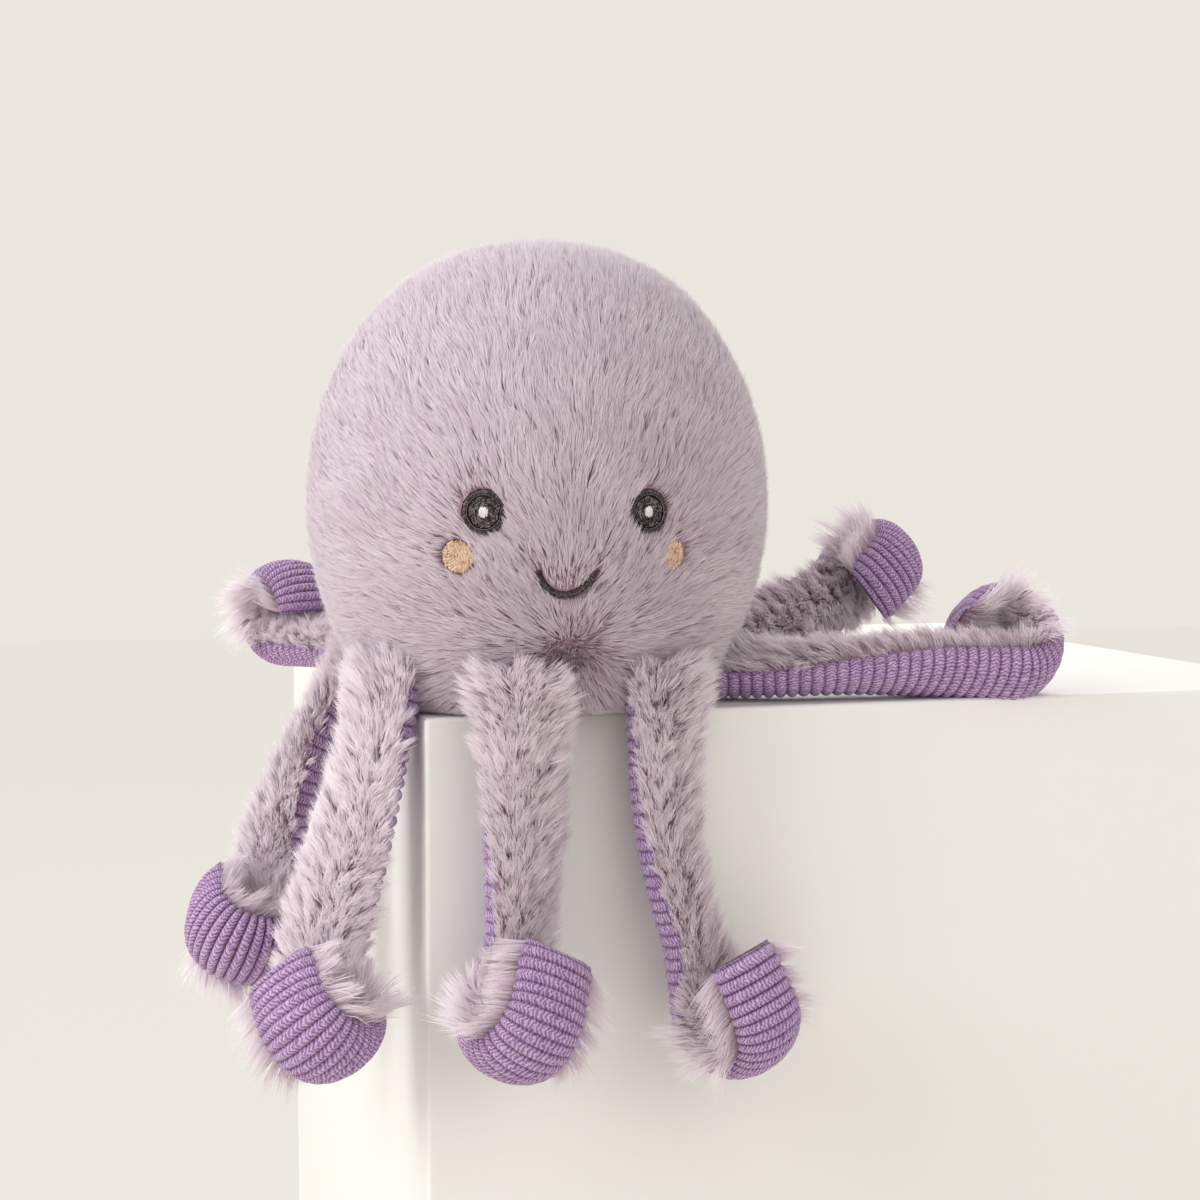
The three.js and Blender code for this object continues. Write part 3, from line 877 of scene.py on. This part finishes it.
# %% The frames of one limb
class Limb:
    """The frames of one limb, and the places of points given along, across and above its middle line."""

    def __init__(self, name):
        share, tip_share, drop, lean, bow, hook, curl, twists = limb_turns[name]
        azimuth = limb_azimuth(name)
        outward = Vector((math.sin(azimuth), -math.cos(azimuth), 0))
        dropped = Matrix.Rotation(-math.radians(drop), 3, outward.cross(Vector((0, 0, 1))))
        along = dropped @ outward
        up = dropped @ Vector((0, 0, 1))
        at = outward * hinge_radius + Vector((0, 0, hinge_height))
        half_width = limb_half_width * root_width_share
        half_thickness = limb_half_thickness
        rows = [(0.0, at, along, up, half_width, half_thickness, 0.0)]
        travel = {"root": (root_length, 0, 0, twists[0]),
                  "span": (span_length * share, bow, lean, twists[1]),
                  "hook": (hook_length * share, 0, hook, twists[2]),
                  "curl": (curl_radius * math.radians(curl), curl, 0, 0),
                  "tip": (tip_length * tip_share, 0, 0, 0)}
        gone = 0.0
        for part, (steps, width_share, thickness_share) in stretches.items():
            length, bend, sway, turn = travel[part]
            count = steps * strides_each_step
            each = [math.radians(angle) / count for angle in (bend, sway, turn)]
            first_width, first_thickness = half_width, half_thickness
            last_width, last_thickness = limb_half_width * width_share, limb_half_thickness * thickness_share
            for stride in range(1, count + 1):
                bending = Matrix.Rotation(each[0], 3, along.cross(up))
                new_along, new_up = bending @ along, bending @ up
                new_along = Matrix.Rotation(each[1], 3, new_up) @ new_along
                new_up = Matrix.Rotation(each[2], 3, new_along) @ new_up
                at = at + (along + new_along) * (length / count / 2)
                along, up = new_along, new_up
                gone += length / count
                done = stride / count
                half_width = first_width + (last_width - first_width) * done
                half_thickness = first_thickness + (last_thickness - first_thickness) * done
                rows.append((gone, at, along, up, half_width, half_thickness, each[0] * count / length))
        self.name = name
        self.reach = gone
        self.curl_start = gone - travel["curl"][0] - travel["tip"][0]
        self.gone, self.half_width, self.half_thickness, self.bend = (
            np.array([row[column] for row in rows]) for column in (0, 4, 5, 6))
        self.at, self.along, self.up = (np.array([row[column][:] for row in rows]) for column in (1, 2, 3))

    def frame_at(self, gone):
        """Middle line, heading, up and across at distances along the limb, straight on before its root."""
        def blended(rows):
            return np.stack([np.interp(gone, self.gone, rows[:, axis]) for axis in range(3)], axis=-1)
        middle = blended(self.at) + self.along[0] * np.minimum(gone, 0)[:, None]
        along = unit(blended(self.along))
        up = along_surface(blended(self.up), along)
        return middle, along, up, np.cross(along, up)

    def section_at(self, gone):
        """Half width and half thickness, rounded off at the root and drawn flat at the tip's seam."""
        half_width = np.interp(gone, self.gone, self.half_width)
        half_thickness = np.interp(gone, self.gone, self.half_thickness)
        nose = np.clip(-gone / limb_half_thickness, 0, 1)
        half_thickness = half_thickness * np.sqrt(np.maximum(1 - nose * nose, 0))
        tip = np.clip(1 - (self.reach - gone) / tip_rounding, 0, 1)
        half_thickness = half_thickness * np.maximum(np.sqrt(np.maximum(1 - tip * tip, 0)), tip_seam_share)
        half_width = half_width * (1 - 0.1 * nose * nose) * (1 - 0.06 * tip ** 4)
        return half_width, half_thickness

    def places(self, gone, turn, raised):
        """Points and outward directions. Turn goes round from the right side over the fur side."""
        middle, along, up, across = self.frame_at(gone)
        half_width, half_thickness = self.section_at(gone)
        x = half_width * np.cos(turn)
        y = half_thickness * np.sin(turn)
        normal = unit(across * (half_thickness * np.cos(turn))[:, None]
                      + up * (np.maximum(half_width, mm) * np.sin(turn))[:, None])
        place = middle + across * x[:, None] + up * y[:, None] + normal * np.asarray(raised)[..., None]
        return place, normal, along


limbs = {name: Limb(name) for name in limb_names}
print("limbs reach", [round(limb.reach / mm) for limb in limbs.values()], "mm along their curls")

# %% [markdown]
# ## Corduroy
# Wide-wale corduroy has soft cut ridges, here 4.5 mm apart, and painted shade darkens the grooves between them
# into narrow dark lines. The pile of the ridges is a chenille that breaks into small slanting dashes. The
# ridges are real relief. The dashes are drawn by a wave that runs along each ridge and lags further from its
# top, so that they slant one way on one half of a ridge and the other way on the other half, as chenille yarn
# does.

# %% Cut corduroy with chenille ridges
wale_pitch = 4.5 * mm
wale_height = 2.0 * mm
cloth_width = 64 * mm
cloth_length = 270 * mm
dash_pitch = 0.78 * mm
dash_depth = 0.5 * mm
dash_shift = 1.7
dash_unevenness = 4.0
fuzz_share = 0.42
corduroy_grains = {"fuzz": (0.6 * mm, 3.0), "yarn": (1.6 * mm, 3.0), "dye": (12 * mm, 2.0)}


def cut_corduroy(name):
    material, tree = new_material(name)
    place = add_node(tree, "ShaderNodeUVMap", uv_map=fibre_map)
    real = add_node(tree, "ShaderNodeMapping", {"Vector": place.outputs["UV"],
                                                "Scale": (cloth_width / mm, cloth_length / mm, 1)})
    fuzz, yarn, dye = (
        add_node(tree, "ShaderNodeTexNoise", {"Vector": real.outputs["Vector"], "Scale": mm / size,
                                              "Detail": detail}).outputs["Fac"]
        for size, detail in corduroy_grains.values())
    # The mesh carries the height of the ridges, from 0 at their foot to 1 on top, and how far each place is
    # from the top. The height also darkens the grooves, as painted shade.
    ridge = add_node(tree, "ShaderNodeAttribute", attribute_name="ridge")
    from_top = add_node(tree, "ShaderNodeAttribute", attribute_name="from_top")
    # Slanted dashes: a wave along the ridge, shifted more the further from its top, made uneven by noise.
    axes = add_node(tree, "ShaderNodeSeparateXYZ", {"Vector": real.outputs["Vector"]})
    along = add_node(tree, "ShaderNodeMath", {0: axes.outputs["X"], 1: mm / dash_pitch}, operation="MULTIPLY")
    wave = along.outputs["Value"]
    for cause, shift in ((from_top.outputs["Fac"], dash_shift), (yarn, dash_unevenness)):
        moved = add_node(tree, "ShaderNodeMath", {0: cause, 1: shift, 2: wave}, operation="MULTIPLY_ADD")
        wave = moved.outputs["Value"]
    dash = add_node(tree, "ShaderNodeMath", {0: wave, 1: 1.0}, operation="PINGPONG")
    fuzzy = add_node(tree, "ShaderNodeMix", {0: fuzz_share, 2: dash.outputs["Value"], 3: fuzz},
                     data_type="FLOAT")
    dashes = add_node(tree, "ShaderNodeValToRGB", {"Fac": fuzzy.outputs[0]},
                      stops=[(0.2, "#80598b"), (0.48, "#ac8cb8"), (0.74, "#d3bad9")])
    faded = add_node(tree, "ShaderNodeValToRGB", {"Fac": dye}, stops=[(0.3, "#f0e6f0"), (0.7, "#ffffff")])
    # Painted shade: the lower a place lies between the ridges, the darker it is coloured, down to deep purple.
    painted_groove_shade = add_node(tree, "ShaderNodeValToRGB", {"Fac": ridge.outputs["Fac"]},
                      stops=[(0.1, "#6a4a70"), (0.75, "#ffffff")])
    colour = dashes.outputs["Color"]
    for share, shade in ((0.7, faded), (1.0, painted_groove_shade)):
        shaded = add_node(tree, "ShaderNodeMix", {0: share, 6: colour, 7: shade.outputs["Color"]},
                          data_type="RGBA", blend_type="MULTIPLY")
        colour = shaded.outputs[2]
    bumped_surface(tree, colour, fuzzy.outputs[0], 0.8, dash_depth, {
        "Roughness": 0.85, "Specular IOR Level": 0.2, "Sheen Weight": 0.35, "Sheen Roughness": 0.4})
    return material


corduroy_material = cut_corduroy("cut_corduroy")

# %% [markdown]
# ## A limb's skin
# The skin is one closed sleeve, made as a flat grid and wrapped round the limb. The corduroy takes up the
# part of the sleeve on the cord side, with enough rings for every ridge to be round. The backing cloth under
# the fur takes up the rest and lies a little deeper. Along the seams both meet without relief.

# %% Sizes of the skin
around_cord, around_fur = 24, 10
rings_each_wale = 10
backing_inset = 2.0 * mm
seam_share = 0.25
seam_turn = math.asin(seam_share)
cord_sweep = math.pi + 2 * seam_turn
fur_sweep = math.pi - 2 * seam_turn
nose_length = 0.98 * limb_half_thickness
ridge_roundness, ridge_middle = 0.5, 0.55
relief_fade, inset_fade = 0.22, 0.5
end_fade = 5 * mm


def cloth_travel(limb):
    """Distance along the corduroy's own surface, which runs outside the curl, at each frame of the limb."""
    middle_bend = (limb.bend[1:] + limb.bend[:-1]) / 2
    middle_thickness = (limb.half_thickness[1:] + limb.half_thickness[:-1]) / 2
    steps = np.diff(limb.gone) * (1 + middle_bend * middle_thickness)
    return np.concatenate([[0], np.cumsum(steps)])


# %% Wrap a grid round a limb
def limb_skin(limb):
    travel = cloth_travel(limb)
    whole = travel[-1] + nose_length
    bm = bmesh.new()
    bmesh.ops.create_grid(bm, x_segments=around_cord + around_fur,
                          y_segments=int(whole / wale_pitch * rings_each_wale), size=0.5)
    flat = np.array([v.co for v in bm.verts])
    across = flat[:, 0] + 0.5
    cloth = (flat[:, 1] + 0.5) * whole - nose_length
    gone = np.where(cloth < 0, cloth, np.interp(cloth, travel, limb.gone))
    cord_share = around_cord / (around_cord + around_fur)
    on_cord = across <= cord_share + 1e-6
    turn = np.where(on_cord, seam_turn - cord_sweep * (1 - across / cord_share),
                    seam_turn + fur_sweep * (across - cord_share) / (1 - cord_share))
    wale = cloth / wale_pitch
    ridge = np.abs(np.sin(math.pi * wale)) ** ridge_roundness
    from_top = np.abs(2 * (wale % 1) - 1)
    seams = (seam_turn, seam_turn - cord_sweep, seam_turn + fur_sweep)
    from_seam = np.min([np.abs(turn - seam) for seam in seams], axis=0)
    relief = smooth_step(0.0, relief_fade, from_seam)
    fade = smooth_step(0, end_fade, limb.reach - gone)
    raised = np.where(on_cord, wale_height * (ridge - ridge_middle) * (0.4 + 0.6 * fade) * relief,
                      -backing_inset * smooth_step(0, inset_fade, from_seam))
    place, _, _ = limb.places(gone, turn, raised)
    ridge_layer = bm.verts.layers.float.new("ridge")
    top_layer = bm.verts.layers.float.new("from_top")
    uv = bm.loops.layers.uv.new(fibre_map)
    share_along = (cloth + nose_length) / cloth_length
    for v, co, value, off_top in zip(bm.verts, place, np.where(on_cord, ridge, 1.0), from_top):
        v.co = co
        v[ridge_layer] = value
        v[top_layer] = off_top
    for face in bm.faces:
        wide = sum(across[loop.vert.index] for loop in face.loops) / 4
        face.material_index = 0 if wide < cord_share else 1
        face.smooth = True
        for loop in face.loops:
            loop[uv].uv = (across[loop.vert.index], share_along[loop.vert.index])
    bmesh.ops.remove_doubles(bm, verts=bm.verts, dist=merge_distance / 10)
    bmesh.ops.holes_fill(bm, edges=[edge for edge in bm.edges if edge.is_boundary])
    bmesh.ops.recalc_face_normals(bm, faces=bm.faces)
    return shaped(f"limb_{limb.name}_skin", bm, corduroy_material, shaded_backing_material)


# %% [markdown]
# ## A limb's pile
# The pile on the limbs is longer than on the head and gathers in locks. Each lock has its own direction and
# shade. The locks lie from the limb's end towards the head and out to both sides, like the barbs of a
# feather. Where a limb enters the head they stand up, and round the curl they stick out past the corduroy,
# where a painted highlight makes them paler.

# %% Grow a limb's pile
lock_spacing = 3.0 * mm
limb_blade_length = (9 * mm, 13 * mm)
limb_blade_width = (0.22 * mm, 0.36 * mm)
seam_overlap = 0.05


def limb_roots(limb, density, random):
    """Distances along a limb and turns round its fur side, thinned out where it narrows or bends inwards."""
    area = (limb.reach + limb_half_thickness) * 2 * (limb_half_width + 0.4 * limb_half_thickness)
    count = int(area * density)
    gone = random.uniform(-0.97 * limb_half_thickness, limb.reach - 0.6 * mm, count)
    turn = random.uniform(seam_turn - seam_overlap, math.pi - seam_turn + seam_overlap, count)
    half_width, half_thickness = limb.section_at(gone)
    stretch = np.hypot(half_width * np.sin(turn), half_thickness * np.cos(turn)) / limb_half_width
    bend = np.interp(gone, limb.gone, limb.bend)
    room = 1 - bend * half_thickness * np.sin(turn)
    kept = random.random(count) < np.clip(stretch, 0.45, 1) * np.clip(room, 0.25, 1)
    return gone[kept], turn[kept], area


def limb_pile(limb, density, random):
    gone, turn, area = limb_roots(limb, density, random)
    count = len(gone)
    surface, normal, along = limb.places(gone, turn, np.zeros(count))
    leader = clump_leaders(surface, area, lock_spacing, random)
    _, _, up, across = limb.frame_at(gone)
    side = np.cos(turn)
    edge = smooth_step(0.7, 0.97, np.abs(side))
    in_curl = smooth_step(-6 * mm, 8 * mm, gone - limb.curl_start)
    curl_rim = in_curl * edge
    curl_inside = in_curl * (1 - edge) * smooth_step(0, 12 * mm, limb.reach - gone)
    at_root = smooth_step(26 * mm, 2 * mm, gone)
    normal = unit(normal + up * (0.7 * edge * (1 - in_curl))[:, None])
    sideways = side * (0.75 + 0.6 * in_curl) + varied(0.22, 0.4, leader, random)
    onward = -1 + 0.5 * in_curl + 0.3 * waves(surface, [150, 90, 210], [-120, 160, -80])
    flow = along_surface(along * onward[:, None] + across * sideways[:, None], normal)
    length = random.uniform(*limb_blade_length, count) * (1 - 0.4 * curl_inside) * (1 + 0.65 * curl_rim)
    length *= (1 + 0.08 * random.normal(0, 1, count)[leader]) * (1 + 0.2 * at_root)
    spread = random.normal(0, 8, count)[leader]
    lean_start = (random.uniform(14, 40, count) + spread) * (1 - 0.3 * at_root)
    lean_end = (random.uniform(50, 80, count) + spread) * (1 - 0.35 * at_root)
    # Painted highlight: the pile that sticks out at the rim of the curl is coloured paler, as light shining
    # through it.
    tone = 0.68 + varied(0.17, 0.06, leader, random) + 0.2 * curl_rim
    blades = Blades(surface - normal * backing_inset, normal, flow, length,
                    random.uniform(*limb_blade_width, count), tone, random.normal(0, 22, count),
                    lean_start, lean_end)
    blades.gather(leader, random.uniform(0.02, 0.3, count))
    return blades


# %% Dress every limb
limb_blades_each_square_metre = 5.2e6
for name, limb in limbs.items():
    body = f"limb_{name}"
    skin = limb_skin(limb)
    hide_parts(f"limb_{name}_corduroy", f"limb_{name}_filling")
    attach(skin, body)
    lies_on_shelf = limb_turns[name][2] <= 0
    pile = pile_object(f"limb_{name}_pile", limb_pile(limb, limb_blades_each_square_metre, combing),
                       limb_pile_material, floor_level=0.1 * mm if lies_on_shelf else far_below)
    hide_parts(f"limb_{name}_fur")
    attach(pile, body)
    print(pile.name, len(pile.data.polygons), "faces;", skin.name, len(skin.data.polygons), "faces")

# %% [markdown]
# ## The panel that closes the underside
# The base panel is hidden under the head and its solid has the right shape, so it stays and takes a material:
# flat woven cotton, in threads of 0.8 mm, which is drawn coarser than real so that it shows.

# %% Woven cotton for the base panel
weave_pitch = 0.8 * mm
weave_depth = 0.2 * mm
# A wave texture turns by 20 radians in each unit of its scaled place, which makes this many bands.
bands_each_unit = 20 / (2 * math.pi)


def woven_cotton(name):
    material, tree = new_material(name)
    place = add_node(tree, "ShaderNodeTexCoord")
    warp, weft = (
        add_node(tree, "ShaderNodeTexWave", {
            "Vector": place.outputs["Object"], "Scale": 1 / weave_pitch / bands_each_unit, "Distortion": 0.6,
            "Detail": 2.0}, bands_direction=direction).outputs["Fac"]
        for direction in ("X", "Y"))
    weave = add_node(tree, "ShaderNodeMath", {0: warp, 1: weft}, operation="MULTIPLY")
    colour = add_node(tree, "ShaderNodeValToRGB", {"Fac": weave.outputs["Value"]},
                      stops=[(0.0, "#7f6198"), (0.6, "#a98bc1")])
    bumped_surface(tree, colour.outputs["Color"], weave.outputs["Value"], 0.4, weave_depth,
                   {**matt_cloth, "Sheen Weight": 0.2})
    return material


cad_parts["base_panel"].material_slots[0].material = woven_cotton("woven_cotton")

# %% [markdown]
# ## The stage
# The toy sits on the corner of a white shelf. A block stands for the shelf, with soft edges as paint leaves
# them, and a pale floor lies under it. The background is the floor's own colour, which the camera and
# reflections see and the light doesn't, so it adds nothing to the light on the toy.

# %% Painted wood and the floor
background_code = "#ebe6de"
brush_mark = (20 * mm, 2.5 * mm, 2.5 * mm)
paint_relief = 0.2 * mm
floor_glow_share = 0.93


def seen_directly(tree):
    """1 for rays from the camera, in reflections and through glass, 0 for light."""
    path = add_node(tree, "ShaderNodeLightPath")
    seen = path.outputs["Is Camera Ray"]
    for kind in ("Is Glossy Ray", "Is Transmission Ray"):
        either = add_node(tree, "ShaderNodeMath", {0: seen, 1: path.outputs[kind]}, operation="MAXIMUM")
        seen = either.outputs["Value"]
    return seen


def painted_wood(name, code):
    material, tree = new_material(name)
    place = add_node(tree, "ShaderNodeTexCoord")
    brushed = add_node(tree, "ShaderNodeMapping", {"Vector": place.outputs["Object"],
                                                   "Scale": [brush_mark[0] / size for size in brush_mark]})
    strokes = add_node(tree, "ShaderNodeTexNoise", {"Vector": brushed.outputs["Vector"],
                                                    "Scale": 1 / brush_mark[0]})
    bumped_surface(tree, linear(code), strokes.outputs["Fac"], 0.05, paint_relief, {"Roughness": 0.5})
    return material


def pale_floor(name, code):
    """Mostly its own colour to the camera, so that it hardly parts from the background, with soft shadows."""
    material, tree = new_material(name)
    cloth = add_node(tree, "ShaderNodeBsdfDiffuse", {"Color": linear(code)})
    glow = add_node(tree, "ShaderNodeEmission", {"Color": linear(code), "Strength": 1.0})
    seen = add_node(tree, "ShaderNodeMath", {0: seen_directly(tree), 1: floor_glow_share},
                    operation="MULTIPLY")
    mixed = add_node(tree, "ShaderNodeMixShader", {0: seen.outputs["Value"], 1: cloth.outputs["BSDF"],
                                                   2: glow.outputs["Emission"]})
    add_node(tree, "ShaderNodeOutputMaterial", {"Surface": mixed.outputs["Shader"]})
    return material


# %% The shelf's corner and the floor
edge_softness = 1.5 * mm


def soft_box(name, low, high, material):
    bm = bmesh.new()
    bmesh.ops.create_cube(bm, size=1)
    bmesh.ops.scale(bm, vec=Vector(high) - Vector(low), verts=bm.verts)
    bmesh.ops.translate(bm, vec=(Vector(low) + Vector(high)) / 2, verts=bm.verts)
    bmesh.ops.bevel(bm, geom=bm.edges[:], offset=edge_softness, segments=3, profile=0.5, affect="EDGES",
                    material=-1)
    return shaped(name, bm, material)


shelf_turn = math.radians(7.55)
floor_height = -400 * mm
floor_reach, floor_depth = 5.0, 20 * mm
shelf = soft_box("shelf_corner", (-55.2 * mm, -50 * mm, floor_height), (330 * mm, 300 * mm, 0),
                 painted_wood("painted_wood", "#eeece8"))
shelf.data.transform(Matrix.Rotation(shelf_turn, 4, "Z"))
floor = soft_box("floor", (-floor_reach, -floor_reach, floor_height - floor_depth),
                 (floor_reach, floor_reach, floor_height), pale_floor("pale_floor", background_code))

# %% Soft daylight from the left, as from a window
world = bpy.data.worlds.new("studio")
world.use_nodes = True
scene.world = world
sky = world.node_tree
sky.nodes.clear()
lit = add_node(sky, "ShaderNodeBackground", {"Color": linear("#f3f1ee"), "Strength": 0.75})
shown = add_node(sky, "ShaderNodeBackground", {"Color": linear(background_code), "Strength": 1.0})
chosen_sky = add_node(sky, "ShaderNodeMixShader", {0: seen_directly(sky), 1: lit.outputs["Background"],
                                                   2: shown.outputs["Background"]})
add_node(sky, "ShaderNodeOutputWorld", {"Surface": chosen_sky.outputs["Shader"]})


def lamp(name, place, aim, size, watts):
    data = bpy.data.lights.new(name, "AREA")
    data.size = size
    data.energy = watts
    made = bpy.data.objects.new(name, data)
    made.location = place
    made.rotation_euler = (Vector(aim) - Vector(place)).to_track_quat("-Z", "Y").to_euler()
    scene.collection.objects.link(made)
    return made


middle_of_toy = (0, 0, 0.06)
lamp("window", (-1.4, -0.6, 0.9), middle_of_toy, 1.2, 22)
lamp("fill", (0.8, -1.5, 0.8), middle_of_toy, 1.5, 6)
lamp("back", (0.3, 1.3, 1.1), middle_of_toy, 1.2, 12)
